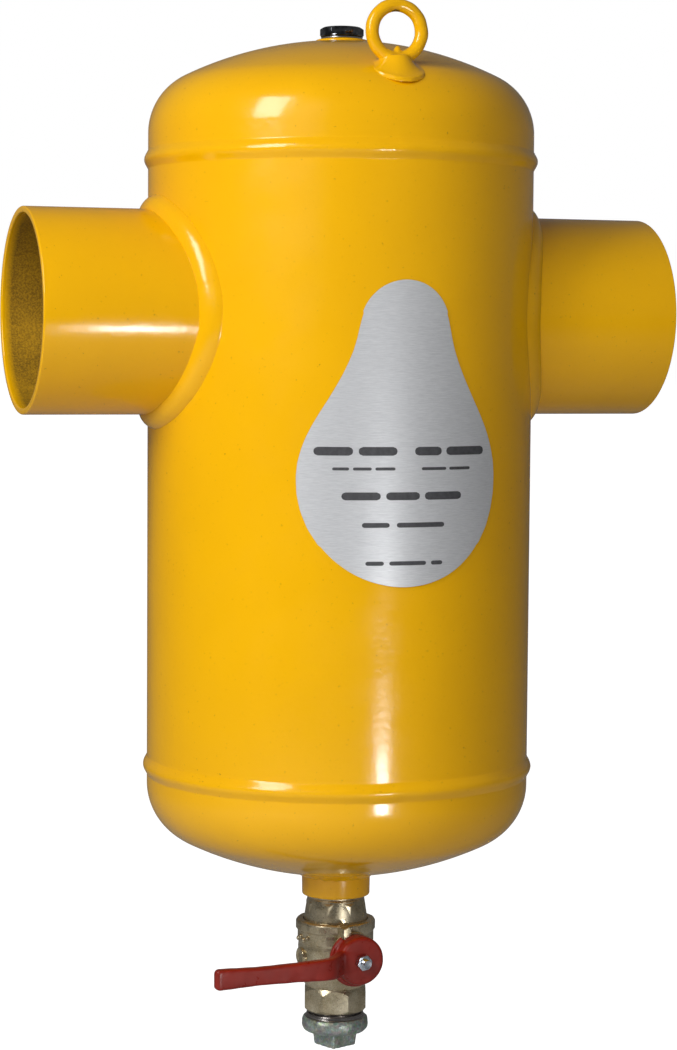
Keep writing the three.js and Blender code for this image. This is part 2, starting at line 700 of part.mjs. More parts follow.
function drainPlug() {
  const shank = turned(
    [
      [0, PLUG_FLANGE_BOTTOM - 0.5],
      [12, PLUG_FLANGE_BOTTOM - 0.5],
      [PLUG_FLANGE_R - 2.5, PLUG_FLANGE_BOTTOM],
      [PLUG_FLANGE_R - 0.6, PLUG_FLANGE_BOTTOM + 2],
      [PLUG_FLANGE_R, PLUG_FLANGE_BOTTOM + 4.5],
      [PLUG_FLANGE_R - 0.5, PLUG_FLANGE_TOP - 1],
      [PLUG_FLANGE_R - 1.8, PLUG_FLANGE_TOP],
      [DRAIN_THREAD_R, BODY_BOTTOM - 1],
      [15.9, BODY_BOTTOM - 0.5],
      [15.9, -388.5],
      [13, -388.5],
      [13, -407],
      [11, -409.5],
      [0, -409.5],
    ],
    28,
  );
  const corner = (PLUG_SQUARE / 2) * Math.SQRT2;
  const square = new THREE.CylinderGeometry(corner, corner - 1, PLUG_FLANGE_BOTTOM - PLUG_BOTTOM, 4)
    .rotateX(Math.PI / 2)
    .rotateZ(radians(45 + PLUG_SQUARE_TURN))
    .translate(0, 0, (PLUG_FLANGE_BOTTOM + PLUG_BOTTOM) / 2);
  return solid(shank).add(solid(square));
}

// ---------- Assembly ----------

const separator = new THREE.Group();

add(separator, "shell_tube", shell(), YELLOW_PAINT);
const upperEnd = dishedEnd(TOP_FLANGE, VENT_SOCKET_R + GAP).translate(0, 0, TOP_SEAM_Z);
const lowerEnd = dishedEnd(BOTTOM_FLANGE, DRAIN_SOCKET_R + GAP).rotateX(Math.PI).translate(0, 0, BOTTOM_SEAM_Z);
add(separator, "top_dished_end", upperEnd, YELLOW_PAINT);
add(separator, "bottom_dished_end", lowerEnd, YELLOW_PAINT);
add(separator, "top_seam_weld", seamWeld(TOP_SEAM_Z), YELLOW_PAINT);
add(separator, "bottom_seam_weld", seamWeld(BOTTOM_SEAM_Z), YELLOW_PAINT);

const outletSide = new THREE.Group();
add(outletSide, "outlet_pipe", pipeStub(), YELLOW_PAINT);
add(outletSide, "outlet_weld", pipeWeld(), YELLOW_PAINT);
const inletSide = new THREE.Group();
add(inletSide, "inlet_pipe", pipeStub(), YELLOW_PAINT);
add(inletSide, "inlet_weld", pipeWeld(), YELLOW_PAINT);
inletSide.rotation.z = Math.PI;
separator.add(outletSide, inletSide);

add(separator, "lifting_eye", liftingEye(), YELLOW_PAINT);
add(separator, "lifting_eye_weld", eyeWeld(), YELLOW_PAINT);
add(separator, "vent_socket", ventSocket(), YELLOW_PAINT);
const sealRing = ring(VENT_THREAD_R + 0.37, 11.8, VENT_SOCKET_TOP + GAP, VENT_SOCKET_TOP + 1.3, 24);
add(separator, "vent_seal", sealRing, STAINLESS);
add(separator, "vent_plug", ventPlug(), NICKEL);
add(separator, "drain_socket", drainSocket(), YELLOW_PAINT);
add(separator, "drain_socket_weld", drainSocketWeld(), YELLOW_PAINT);
add(separator, "name_label", label(), SILVER_LABEL);

tubeCentres().forEach(([x, y], i) => {
  add(separator, `core_tube_${i + 1}`, coreTube().translate(x, y, 0), COPPER);
  add(separator, `wire_sleeve_${i + 1}`, wireSleeve().translate(x, y, 0), COPPER);
});
add(separator, "lower_tube_plate", tubePlate(SLEEVE_BOTTOM - TUBE_PLATE_THICKNESS), STAINLESS);
add(separator, "upper_tube_plate", tubePlate(SLEEVE_TOP), STAINLESS);
[30, 150, 270].forEach((turn, i) => {
  add(separator, `plate_bracket_${i + 1}`, bracket(turn), YELLOW_PAINT);
});

const valve = new THREE.Group();
valve.rotation.z = radians(VALVE_TURN);
add(valve, "valve_end_piece", endPiece(), BRASS);
add(valve, "valve_body", valveBody(), BRASS);
add(valve, "upper_ball_seat", seat(1), PTFE);
add(valve, "lower_ball_seat", seat(-1), PTFE);
add(valve, "valve_ball", ball(), CHROME);
add(valve, "valve_stem", stem(), BRASS);
const packing = ring(STEM_R + GAP, STEM_BORE_R - GAP, 19, BOSS_FLANGE_FACE - 2 - GAP, 16);
add(valve, "stem_packing", alongStem(packing), PTFE);
add(valve, "gland_nut", glandNut(), BRASS);
add(valve, "lever", alongStem(lever()), RED_COAT);
add(valve, "lever_nut", leverNut(), ZINC);
add(valve, "drain_plug_tape", ring(16.2, 16.65, -401.5, -390, 24), PTFE);
add(valve, "drain_plug", drainPlug(), GALVANISED);
separator.add(valve);

export default separator;
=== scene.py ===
"""Looks of a weld-end dirt separator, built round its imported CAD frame.

Shapes are drawn in millimetres in the frame's own axes: X along the pipe run, Z up, -Y the front.
"""

import math

import bmesh
import bpy
import numpy as np
from mathutils import Matrix, Vector, noise


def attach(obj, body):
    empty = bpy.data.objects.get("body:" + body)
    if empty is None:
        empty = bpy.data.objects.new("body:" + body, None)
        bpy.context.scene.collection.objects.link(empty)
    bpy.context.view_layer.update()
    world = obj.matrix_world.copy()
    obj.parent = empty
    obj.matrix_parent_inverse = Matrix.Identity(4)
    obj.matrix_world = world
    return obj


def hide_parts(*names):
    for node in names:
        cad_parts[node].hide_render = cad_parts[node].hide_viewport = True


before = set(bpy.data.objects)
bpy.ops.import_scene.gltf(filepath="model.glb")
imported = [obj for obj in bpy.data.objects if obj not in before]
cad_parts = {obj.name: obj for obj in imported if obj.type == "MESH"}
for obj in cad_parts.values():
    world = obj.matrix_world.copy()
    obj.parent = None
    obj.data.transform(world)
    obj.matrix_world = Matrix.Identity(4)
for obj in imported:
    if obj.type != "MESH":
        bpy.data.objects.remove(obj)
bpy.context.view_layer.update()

MM = 0.001
R = 109.55  # vessel
BORE = 105.05
TOP_SEAM, BOTTOM_SEAM = 86.4, -258.2
TOP_FLANGE, BOTTOM_FLANGE = 15.0, 10.5
KNUCKLE, CROWN = 35.0, 203.0
PIPE_R, PIPE_IN = 57.15, 53.55
PIPE_END = 185.0
STEM_Z = -367.0
VALVE_TURN = math.radians(5)
UPRIGHT = Matrix.Rotation(VALVE_TURN, 4, "Z")
# Takes a shape drawn about +Z to the valve's stem, which points outwards at the front.
STEM = UPRIGHT @ Matrix.Translation((0, 0, STEM_Z)) @ Matrix.Rotation(math.pi / 2, 4, "X")


# ---------- Meshes ----------


def turned(outline, steps=128):
    """Vertices and faces of a closed [radius, height] outline turned about Z."""
    pts = [p for i, p in enumerate(outline) if i == 0 or p != outline[i - 1]]
    if pts[0] == pts[-1]:
        pts = pts[:-1]
    verts, faces, rows = [], [], []
    for r, z in pts:
        if r < 1e-6:
            rows.append([len(verts)])
            verts.append((0, 0, z))
        else:
            rows.append(list(range(len(verts), len(verts) + steps)))
            turn = [2 * math.pi * j / steps for j in range(steps)]
            verts += [(r * math.cos(t), r * math.sin(t), z) for t in turn]
    for a, b in zip(rows, rows[1:] + rows[:1]):
        if len(a) == 1 and len(b) == 1:
            continue
        for j in range(steps):
            k = (j + 1) % steps
            if len(a) == 1:
                faces.append((a[0], b[k], b[j]))
            elif len(b) == 1:
                faces.append((a[j], a[k], b[0]))
            else:
                faces.append((a[j], a[k], b[k], b[j]))
    return verts, faces


def rounded(points, radius, steps=4, closed=True):
    """A polyline with its corners rounded. radius is one number, or one for each corner."""
    n = len(points)
    radii = radius if isinstance(radius, (list, tuple)) else [radius] * n
    out = []
    for i, p in enumerate(points):
        r = radii[i]
        if r <= 0 or (not closed and i in (0, n - 1)):
            out.append(tuple(p))
            continue
        p = Vector(p)
        a, b = Vector(points[i - 1]) - p, Vector(points[(i + 1) % n]) - p
        la, lb = a.length, b.length
        a, b = a.normalized(), b.normalized()
        cut = min(r, 0.45 * la, 0.45 * lb)
        for k in range(steps + 1):
            t = k / steps
            q = p + a * cut * (1 - t) ** 2 + b * cut * t**2
            out.append((q.x, q.y))
    return out


def extruded(outline, low, high):
    """A prism about Z from an outline of [x, y] points, anticlockwise."""
    n = len(outline)
    verts = [(x, y, low) for x, y in outline] + [(x, y, high) for x, y in outline]
    faces = [(i, (i + 1) % n, n + (i + 1) % n, n + i) for i in range(n)]
    faces += [tuple(range(n - 1, -1, -1)), tuple(range(n, 2 * n))]
    return verts, faces


def prism(sides, flats, low, high, turn=0.0):
    """A regular prism; turn is the angle in degrees of one face's normal from -Y towards +X."""
    corner = flats / 2 / math.cos(math.pi / sides)
    start = math.radians(turn - 90) + math.pi / sides
    pts = [
        (corner * math.cos(start + 2 * math.pi * i / sides), corner * math.sin(start + 2 * math.pi * i / sides))
        for i in range(sides)
    ]
    return extruded(pts, low, high)


def build(name, shape, matrix=None, scale=MM):
    """A mesh object from vertices and faces in millimetres."""
    verts, faces = shape
    mesh = bpy.data.meshes.new(name)
    mesh.from_pydata([tuple(v) for v in verts], [], faces)
    if matrix is not None:
        mesh.transform(matrix)
    mesh.transform(Matrix.Scale(scale, 4))
    mesh.update()
    obj = bpy.data.objects.new(name, mesh)
    bpy.context.scene.collection.objects.link(obj)
    return obj


def apply_modifiers(obj):
    depsgraph = bpy.context.evaluated_depsgraph_get()
    mesh = bpy.data.meshes.new_from_object(obj.evaluated_get(depsgraph))
    old = obj.data
    obj.modifiers.clear()
    obj.data = mesh
    bpy.data.meshes.remove(old)
    return obj


def boolean(obj, other, operation):
    mod = obj.modifiers.new("bool", "BOOLEAN")
    mod.operation, mod.object, mod.solver = operation, other, "EXACT"
    apply_modifiers(obj)
    bpy.data.objects.remove(other)
    return obj


def bevel(obj, width, segments=3, angle=25):
    mod = obj.modifiers.new("bevel", "BEVEL")
    mod.width, mod.segments = width * MM, segments
    mod.limit_method, mod.angle_limit = "ANGLE", math.radians(angle)
    mod.harden_normals = False
    return apply_modifiers(obj)


def remesh(obj, voxel, smooth=6, factor=0.5):
    mod = obj.modifiers.new("remesh", "REMESH")
    mod.mode, mod.voxel_size = "VOXEL", voxel * MM
    if smooth:
        soft = obj.modifiers.new("smooth", "SMOOTH")
        soft.factor, soft.iterations = factor, smooth
    return apply_modifiers(obj)


def join(name, objs):
    mesh = bmesh.new()
    for o in objs:
        mesh.from_mesh(o.data)
        bpy.data.objects.remove(o)
    data = bpy.data.meshes.new(name)
    mesh.to_mesh(data)
    mesh.free()
    obj = bpy.data.objects.new(name, data)
    bpy.context.scene.collection.objects.link(obj)
    return obj


def roughen(obj, amount, size, seed=0.0, mask=None):
    """Moves each vertex along its normal by noise: amount and size in millimetres."""
    mesh = obj.data
    shift = Vector((seed, seed * 1.7, seed * 0.6))
    normals = [v.normal.copy() for v in mesh.vertices]
    for v, normal in zip(mesh.vertices, normals):
        p = v.co / MM
        strength = 1.0 if mask is None else mask(p)
        if strength:
            v.co += normal * (amount * MM * strength * noise.noise(p / size + shift))
    mesh.update()
    return obj


def shade(obj, angle=32):
    mesh = bmesh.new()
    mesh.from_mesh(obj.data)
    bmesh.ops.recalc_face_normals(mesh, faces=mesh.faces)
    limit = math.radians(angle)
    for face in mesh.faces:
        face.smooth = True
    for edge in mesh.edges:
        if len(edge.link_faces) == 2:
            edge.smooth = edge.calc_face_angle(0) < limit
    mesh.to_mesh(obj.data)
    mesh.free()
    return obj


def finish_piece(obj, material, nodes, body="vessel", angle=32):
    shade(obj, angle)
    obj.data.materials.clear()
    obj.data.materials.append(material)
    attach(obj, body)
    if nodes:
        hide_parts(*nodes)
    return obj


# ---------- Materials ----------


class Nodes:
    """A small help to write a node material."""

    def __init__(self, name):
        self.material = bpy.data.materials.new(name)
        self.material.use_nodes = True
        self.tree = self.material.node_tree
        self.shader = self.tree.nodes["Principled BSDF"]
        self.place = self.tree.nodes.new("ShaderNodeTexCoord").outputs["Object"]

    def set(self, **values):
        for key, value in values.items():
            self.shader.inputs[key.replace("_", " ")].default_value = value

    def link(self, a, b):
        self.tree.links.new(a, b)

    def scaled(self, x, y, z):
        node = self.tree.nodes.new("ShaderNodeMapping")
        node.inputs["Scale"].default_value = (x, y, z)
        self.link(self.place, node.inputs["Vector"])
        return node.outputs["Vector"]

    def noise(self, scale, detail=3, rough=0.55, vector=None):
        node = self.tree.nodes.new("ShaderNodeTexNoise")
        node.inputs["Scale"].default_value = scale
        node.inputs["Detail"].default_value = detail
        node.inputs["Roughness"].default_value = rough
        self.link(vector or self.place, node.inputs["Vector"])
        return node.outputs["Fac"]

    def cells(self, scale, feature="F1", vector=None):
        node = self.tree.nodes.new("ShaderNodeTexVoronoi")
        node.feature = feature
        node.inputs["Scale"].default_value = scale
        self.link(vector or self.place, node.inputs["Vector"])
        return node

    def ramp(self, value, stops):
        node = self.tree.nodes.new("ShaderNodeValToRGB")
        ramp = node.color_ramp
        while len(ramp.elements) < len(stops):
            ramp.elements.new(0.5)
        for element, (at, colour) in zip(ramp.elements, stops):
            element.position = at
            element.color = (*colour, 1) if isinstance(colour, tuple) else (colour,) * 3 + (1,)
        self.link(value, node.inputs["Fac"])
        return node.outputs["Color"]

    def span(self, value, low, high, out_low, out_high):
        node = self.tree.nodes.new("ShaderNodeMapRange")
        for key, number in zip(("From Min", "From Max", "To Min", "To Max"), (low, high, out_low, out_high)):
            node.inputs[key].default_value = number
        self.link(value, node.inputs["Value"])
        return node.outputs["Result"]

    def mix(self, factor, a, b):
        node = self.tree.nodes.new("ShaderNodeMix")
        node.data_type = "RGBA"
        for socket, value in ((node.inputs[0], factor), (node.inputs[6], a), (node.inputs[7], b)):
            if isinstance(value, (int, float)):
                socket.default_value = value
            elif isinstance(value, tuple):
                socket.default_value = (*value, 1)
            else:
                self.link(value, socket)
        return node.outputs[2]

    def math(self, kind, a, b):
        node = self.tree.nodes.new("ShaderNodeMath")
        node.operation = kind
        for socket, value in zip(node.inputs, (a, b)):
            if isinstance(value, (int, float)):
                socket.default_value = value
            else:
                self.link(value, socket)
        return node.outputs[0]

    def attribute(self, name):
        node = self.tree.nodes.new("ShaderNodeAttribute")
        node.attribute_name = name
        return node.outputs["Fac"]

    def bump(self, *layers):
        """Each layer is (height, strength, distance in millimetres)."""
        normal = None
        for height, strength, distance in layers:
            node = self.tree.nodes.new("ShaderNodeBump")
            node.inputs["Strength"].default_value = strength
            node.inputs["Distance"].default_value = distance * MM
            self.link(height, node.inputs["Height"])
            if normal is not None:
                self.link(normal, node.inputs["Normal"])
            normal = node.outputs["Normal"]
        self.link(normal, self.shader.inputs["Normal"])


ENAMEL_LOW = (0.83, 0.42, 0.0)
ENAMEL_HIGH = (0.89, 0.46, 0.0)


def paint_material():
    """Thick glossy yellow enamel: orange peel, small pits, and inside the pipes a dark mottled colour: thin overspray
    on bare steel, made darker as painted shade.
    """
    n = Nodes("yellow_enamel")
    base = n.ramp(n.noise(9, 4), [(0.3, ENAMEL_LOW), (0.7, ENAMEL_HIGH)])
    speck = n.ramp(n.noise(620, 2, 0.7), [(0.24, 0.0), (0.3, 1.0)])
    base = n.mix(speck, (0.36, 0.17, 0.003), base)
    # In the bores: thin overspray on bare steel, its dark colour partly painted shade of the deep tube.
    bore_grain_and_shade = n.ramp(n.noise(900, 3, 0.8), [(0.42, (0.05, 0.026, 0.003)), (0.6, (0.5, 0.27, 0.01))])
    bore_cloud_and_shade = n.ramp(n.noise(28, 4, 0.6), [(0.35, (0.19, 0.1, 0.006)), (0.68, (0.52, 0.28, 0.01))])
    inside = n.mix(0.5, bore_grain_and_shade, bore_cloud_and_shade)
    in_bore = n.attribute("inside")
    n.link(n.mix(in_bore, base, inside), n.shader.inputs["Base Color"])
    rough = n.span(n.noise(60, 3), 0.3, 0.7, 0.13, 0.22)
    n.link(n.math("ADD", rough, n.math("MULTIPLY", in_bore, 0.42)), n.shader.inputs["Roughness"])
    n.set(IOR=1.46, Coat_Weight=0.25, Coat_Roughness=0.08)
    n.bump((n.noise(330, 2, 0.5), 0.26, 0.25), (n.noise(46, 2), 0.1, 1.0))
    return n.material


def chipped_material():
    """The same enamel with a chip through to dark primer, where the mesh's chip attribute is high."""
    n = Nodes("yellow_enamel_chipped")
    base = n.ramp(n.noise(9, 4), [(0.3, ENAMEL_LOW), (0.7, ENAMEL_HIGH)])
    edge = n.math("ADD", n.attribute("chip"), n.span(n.noise(700, 3), 0.3, 0.7, -0.35, 0.35))
    mask = n.span(edge, 0.48, 0.56, 0, 1)
    dark = n.ramp(n.noise(1500, 3), [(0.4, (0.015, 0.013, 0.008)), (0.66, (0.35, 0.2, 0.02))])
    n.link(n.mix(mask, base, dark), n.shader.inputs["Base Color"])
    n.link(n.span(mask, 0, 1, 0.15, 0.55), n.shader.inputs["Roughness"])
    n.set(IOR=1.5, Coat_Weight=0.3, Coat_Roughness=0.06)
    n.bump((n.noise(330, 2), 0.22, 0.25), (n.noise(60, 2), 0.15, 1.0))
    return n.material


def label_material():
    """Satin metal film with fine sideways graining."""
    n = Nodes("satin_film")
    grain = n.noise(60, 4, 0.7, n.scaled(3, 3, 60))
    fine = n.noise(1500, 2, 0.6)
    n.link(n.ramp(grain, [(0.3, (0.6, 0.61, 0.63)), (0.7, (0.78, 0.79, 0.81))]), n.shader.inputs["Base Color"])
    n.link(n.span(fine, 0.3, 0.7, 0.3, 0.42), n.shader.inputs["Roughness"])
    n.set(Metallic=0.4)
    n.bump((grain, 0.1, 0.05), (fine, 0.12, 0.03))
    return n.material


def ink_material():
    n = Nodes("grey_ink")
    n.link(
        n.ramp(n.noise(400, 3), [(0.3, (0.045, 0.045, 0.05)), (0.7, (0.07, 0.07, 0.076))]),
        n.shader.inputs["Base Color"],
    )
    n.set(Roughness=0.5)
    n.bump((n.noise(900, 2), 0.1, 0.02))
    return n.material


def brass_material(name="nickelled_brass", dark=(0.33, 0.26, 0.14), light=(0.85, 0.76, 0.56), rough=(0.2, 0.42)):
    """Cast brass under a thin dull nickel plate, with its sandy casting skin."""
    n = Nodes(name)
    cloud = n.noise(75, 5, 0.65)
    sand = n.noise(1150, 3, 0.7)
    tone = n.math("ADD", n.math("MULTIPLY", cloud, 0.65), n.math("MULTIPLY", sand, 0.35))
    n.link(n.ramp(tone, [(0.33, dark), (0.5, tuple((a + b) / 2 for a, b in zip(dark, light))), (0.66, light)]),
           n.shader.inputs["Base Color"])
    n.link(n.span(n.noise(260, 3), 0.3, 0.7, *rough), n.shader.inputs["Roughness"])
    n.set(Metallic=0.95)
    n.bump((sand, 0.35, 0.12), (n.noise(190, 3), 0.3, 0.3))
    return n.material


def red_material():
    """Dipped dark red plastic coating on a metal lever."""
    n = Nodes("red_dip_coating")
    n.link(
        n.ramp(n.noise(120, 3), [(0.3, (0.2, 0.01, 0.004)), (0.7, (0.27, 0.014, 0.006))]),
        n.shader.inputs["Base Color"],
    )
    n.link(n.span(n.noise(240, 3), 0.3, 0.7, 0.26, 0.4), n.shader.inputs["Roughness"])
    n.bump((n.noise(420, 2), 0.14, 0.2), (n.noise(70, 2), 0.1, 0.8))
    return n.material


def zinc_material():
    n = Nodes("bright_zinc")
    n.link(
        n.ramp(n.noise(300, 3), [(0.3, (0.45, 0.53, 0.62)), (0.7, (0.78, 0.84, 0.9))]), n.shader.inputs["Base Color"]
    )
    n.link(n.span(n.noise(500, 2), 0.3, 0.7, 0.15, 0.3), n.shader.inputs["Roughness"])
    n.set(Metallic=1.0)
    n.bump((n.noise(700, 2), 0.15, 0.05))
    return n.material


def nickel_material():
    """Polished dark nickel, slightly rippled."""
    n = Nodes("polished_nickel")
    n.link(
        n.ramp(n.noise(180, 3), [(0.4, (0.05, 0.053, 0.06)), (0.66, (0.26, 0.27, 0.29))]), n.shader.inputs["Base Color"]
    )
    n.link(n.span(n.noise(260, 3), 0.3, 0.7, 0.06, 0.16), n.shader.inputs["Roughness"])
    n.set(Metallic=1.0)
    n.bump((n.noise(240, 3), 0.5, 0.4))
    return n.material


def galvanised_material():
    """Hot-dip galvanised malleable iron: grainy, mottled grey-green zinc."""
    n = Nodes("galvanised_iron")
    spangle = n.cells(520)
    grain = n.noise(800, 4, 0.75)
    tone = n.math("ADD", n.math("MULTIPLY", grain, 0.6), n.math("MULTIPLY", n.noise(120, 3), 0.4))
    colour = n.ramp(tone, [(0.34, (0.16, 0.2, 0.17)), (0.52, (0.42, 0.49, 0.44)), (0.68, (0.8, 0.88, 0.82))])
    n.link(n.mix(0.12, colour, spangle.outputs["Color"]), n.shader.inputs["Base Color"])
    n.link(n.span(grain, 0.3, 0.7, 0.28, 0.6), n.shader.inputs["Roughness"])
    n.set(Metallic=0.85)
    n.bump((grain, 0.5, 0.22), (n.noise(210, 3), 0.4, 0.5))
    return n.material


def steel_material(name, low, high, rough=(0.2, 0.35), stretch=(1, 1, 30)):
    n = Nodes(name)
    lines = n.noise(60, 3, 0.6, n.scaled(*stretch))
    n.link(n.ramp(lines, [(0.3, low), (0.7, high)]), n.shader.inputs["Base Color"])
    n.link(n.span(lines, 0.3, 0.7, *rough), n.shader.inputs["Roughness"])
    n.set(Metallic=1.0)
    n.bump((lines, 0.15, 0.08))
    return n.material


def ptfe_material():
    n = Nodes("ptfe")
    n.link(n.ramp(n.noise(300, 3), [(0.3, 0.72), (0.7, 0.86)]), n.shader.inputs["Base Color"])
    n.set(Roughness=0.55)
    n.bump((n.noise(600, 2), 0.2, 0.06))
    return n.material


PAINT = paint_material()
CHIPPED = chipped_material()
LABEL = label_material()
INK = ink_material()
BRASS = brass_material()
RED = red_material()
ZINC = zinc_material()
NICKEL = nickel_material()
GALVANISED = galvanised_material()
TURNED_STEEL = steel_material("turned_steel", (0.22, 0.2, 0.19), (0.5, 0.47, 0.45), (0.18, 0.32))
COPPER = steel_material("copper_wire", (0.42, 0.17, 0.08), (0.75, 0.36, 0.2), (0.25, 0.45), (1, 1, 4))
STAINLESS = steel_material("stainless_sheet", (0.42, 0.42, 0.43), (0.6, 0.6, 0.61))
CHROME = steel_material("polished_chrome", (0.7, 0.7, 0.72), (0.82, 0.82, 0.84), (0.04, 0.09), (1, 1, 1))
PTFE = ptfe_material()


# ---------- Vessel ----------


def arc(centre, radius, start, stop, steps):
    angles = [math.radians(start + (stop - start) * i / steps) for i in range(steps + 1)]
    return [(centre[0] + radius * math.cos(a), centre[1] + radius * math.sin(a)) for a in angles]


def dish_outline(offset, hole):
    """The torispherical end's outline above its straight flange, cut off at a hole about the axis."""
    across = R - KNUCKLE
    down = math.sqrt((CROWN - KNUCKLE) ** 2 - across**2)
    meet = math.degrees(math.atan2(down, across))
    knuckle = arc((across, 0), KNUCKLE + offset, 0, meet, 20)
    crown = arc((0, -down), CROWN + offset, meet, 90, 26)[1:]
    points = [p for p in knuckle + crown if p[0] > hole]
    edge = math.sqrt((CROWN + offset) ** 2 - hole**2) - down
    return points + [(hole, edge)]


def dished_end(name, z, flange, way, hole, nodes):
    outer = [(r, flange + h) for r, h in dish_outline(0, hole)]
    inner = [(r, flange + h) for r, h in dish_outline(BORE - R, hole)]
    profile = [(BORE, 0.15), (R, 0.15), *outer, *reversed(inner)]
    obj = build(name, turned([(r, z + way * h) for r, h in profile], 256))
    return finish_piece(obj, PAINT, nodes, angle=40)


def shell_wall():
    obj = build("vessel_wall", turned([(BORE, -258.05), (R, -258.05), (R, 86.25), (BORE, 86.25)], 320))
    cutter = build("cutter", turned([(0, -150), (PIPE_R + 0.3, -150), (PIPE_R + 0.3, 150), (0, 150)], 160),
                   Matrix.Rotation(math.pi / 2, 4, "Y"))
    boolean(obj, cutter, "DIFFERENCE")
    return finish_piece(obj, PAINT, ["shell_tube"], angle=40)


def seam_bead(name, z, seed, nodes):
    """A painted cap weld: a low crown with soft feet, whose width, height and line wander a little."""
    steps, across = 720, 28
    half, crown = 5.8, 2.3
    verts, faces = [], []
    for i in range(steps):
        t = 2 * math.pi * i / steps
        way = Vector((math.cos(t), math.sin(t), seed))
        wander = 0.3 * noise.noise(way * 5)
        height = crown * (1 + 0.07 * noise.noise(way * 9 + Vector((0, 0, 3))))
        wide = half * (1 + 0.05 * noise.noise(way * 8 + Vector((0, 0, 7))))
        for j in range(across + 1):
            s = -1 + 2 * j / across
            rise = (0.5 + 0.5 * math.cos(math.pi * s)) ** 0.72
            ripple = 0.045 * noise.noise(Vector((math.cos(t) * 60, math.sin(t) * 60, s * 2 + seed)))
            r = R - 0.05 + height * rise + ripple * rise
            verts.append((r * math.cos(t), r * math.sin(t), z + wander + s * wide))
        verts.append(((R - 2) * math.cos(t), (R - 2) * math.sin(t), z))
    row = across + 2
    for i in range(steps):
        a, b = i * row, ((i + 1) % steps) * row
        for j in range(row):
            k = (j + 1) % row
            faces.append((a + j, b + j, b + k, a + k))
    return finish_piece(build(name, (verts, faces)), PAINT, nodes, angle=60)


def mark_inside(obj, test):
    """Writes the mask of a tube's bore, where the enamel gives way to dark overspray darkened as painted shade."""
    layer = obj.data.attributes.new("inside", "FLOAT", "POINT")
    for v in obj.data.vertices:
        layer.data[v.index].value = test(v.co / MM)


def pipe(name, side, nodes):
    lip = 0.9
    start = 60
    outline = [(PIPE_IN, start), (PIPE_R, start), (PIPE_R, PIPE_END - lip)]
    outline += arc((PIPE_R - lip, PIPE_END - lip), lip, 0, 90, 6)[1:]
    outline += arc((PIPE_IN + lip, PIPE_END - lip), lip, 90, 180, 6)
    outline += [(PIPE_IN, PIPE_END - 6), (PIPE_IN, 140)]
    turn = Matrix.Rotation(math.pi / 2 * side, 4, "Y")
    obj = build(name, turned(outline, 256), turn)
    inside = build("cutter", turned([(0, -80), (BORE, -80), (BORE, 80), (0, 80)], 256))
    boolean(obj, inside, "DIFFERENCE")
    # The bore's faces get the dark overspray colour, which is partly painted shade.
    mark_inside(obj, lambda p: 1.0 if math.hypot(p.y, p.z) < PIPE_IN + 0.2 and abs(p.x) < PIPE_END - 3 else 0.0)
    return finish_piece(obj, PAINT, nodes, angle=40)


def pipe_weld(name, side, seed, nodes):
    """The fillet weld round a pipe stub, on the saddle line where it meets the round wall.

    Each section lies in a plane through the pipe's axis, drawn as (distance from the axis, place along it).
    """
    steps, across = 480, 24
    on_wall_leg, on_pipe_leg, crown = 8.2, 6.4, 1.5
    verts, faces = [], []
    for i in range(steps):
        t = 2 * math.pi * i / steps
        way = Vector((math.cos(t) * 4, math.sin(t) * 4, seed))
        leg = on_wall_leg * (1 + 0.05 * noise.noise(way))
        up = on_pipe_leg * (1 + 0.06 * noise.noise(way + Vector((0, 0, 4))))

        def wall(rho):
            return math.sqrt(R**2 - (rho * math.cos(t)) ** 2)

        # At the front and back the wall falls away steeply, so the leg there is measured along it.
        slope = PIPE_R * math.cos(t) ** 2 / wall(PIPE_R)
        leg /= math.hypot(1, slope)
        pipe_toe = Vector((PIPE_R - 0.1, wall(PIPE_R) + up))
        shell_toe = Vector((PIPE_R + leg, wall(PIPE_R + leg) - 0.1))
        chord = (shell_toe - pipe_toe).normalized()
        out = Vector((-chord.y, chord.x))
        ring = []
        for j in range(across + 1):
            s = j / across
            hump = math.sin(math.pi * s) ** 0.8
            ripple = 0.05 * noise.noise(Vector((t * 50, s * 3, seed)))
            ring.append(pipe_toe.lerp(shell_toe, s) + out * hump * (crown + ripple))
        ring.append(Vector((PIPE_R + leg, wall(PIPE_R + leg) - 1.6)))
        ring.append(Vector((PIPE_R - 1.5, wall(PIPE_R) - 1.6)))
        ring.append(Vector((PIPE_R - 1.5, wall(PIPE_R) + up - 0.5)))
        verts += [(side * x, rho * math.cos(t), rho * math.sin(t)) for rho, x in ring]
    row = len(ring)
    for i in range(steps):
        a, b = i * row, ((i + 1) % steps) * row
        faces += [(a + j, b + j, b + (j + 1) % row, a + (j + 1) % row) for j in range(row)]
    return finish_piece(build(name, (verts, faces)), PAINT, nodes, angle=50)


# ---------- Top: lifting eye, vent ----------

EYE_Y, EYE_Z, EYE_R, EYE_BAR = -90.0, 150.0, 14.1, 3.6


def torus(major, minor, around=96, section=32):
    verts, faces = [], []
    for i in range(around):
        a = 2 * math.pi * i / around
        for j in range(section):
            b = 2 * math.pi * j / section
            r = major + minor * math.cos(b)
            verts.append((r * math.cos(a), minor * math.sin(b), r * math.sin(a)))
    for i in range(around):
        for j in range(section):
            k, m = (i + 1) % around, (j + 1) % section
            faces.append((i * section + j, i * section + m, k * section + m, k * section + j))
    return verts, faces


def dome_height(s):
    down = math.sqrt((CROWN - KNUCKLE) ** 2 - (R - KNUCKLE) ** 2)
    return TOP_SEAM + TOP_FLANGE + math.sqrt(CROWN**2 - s**2) - down


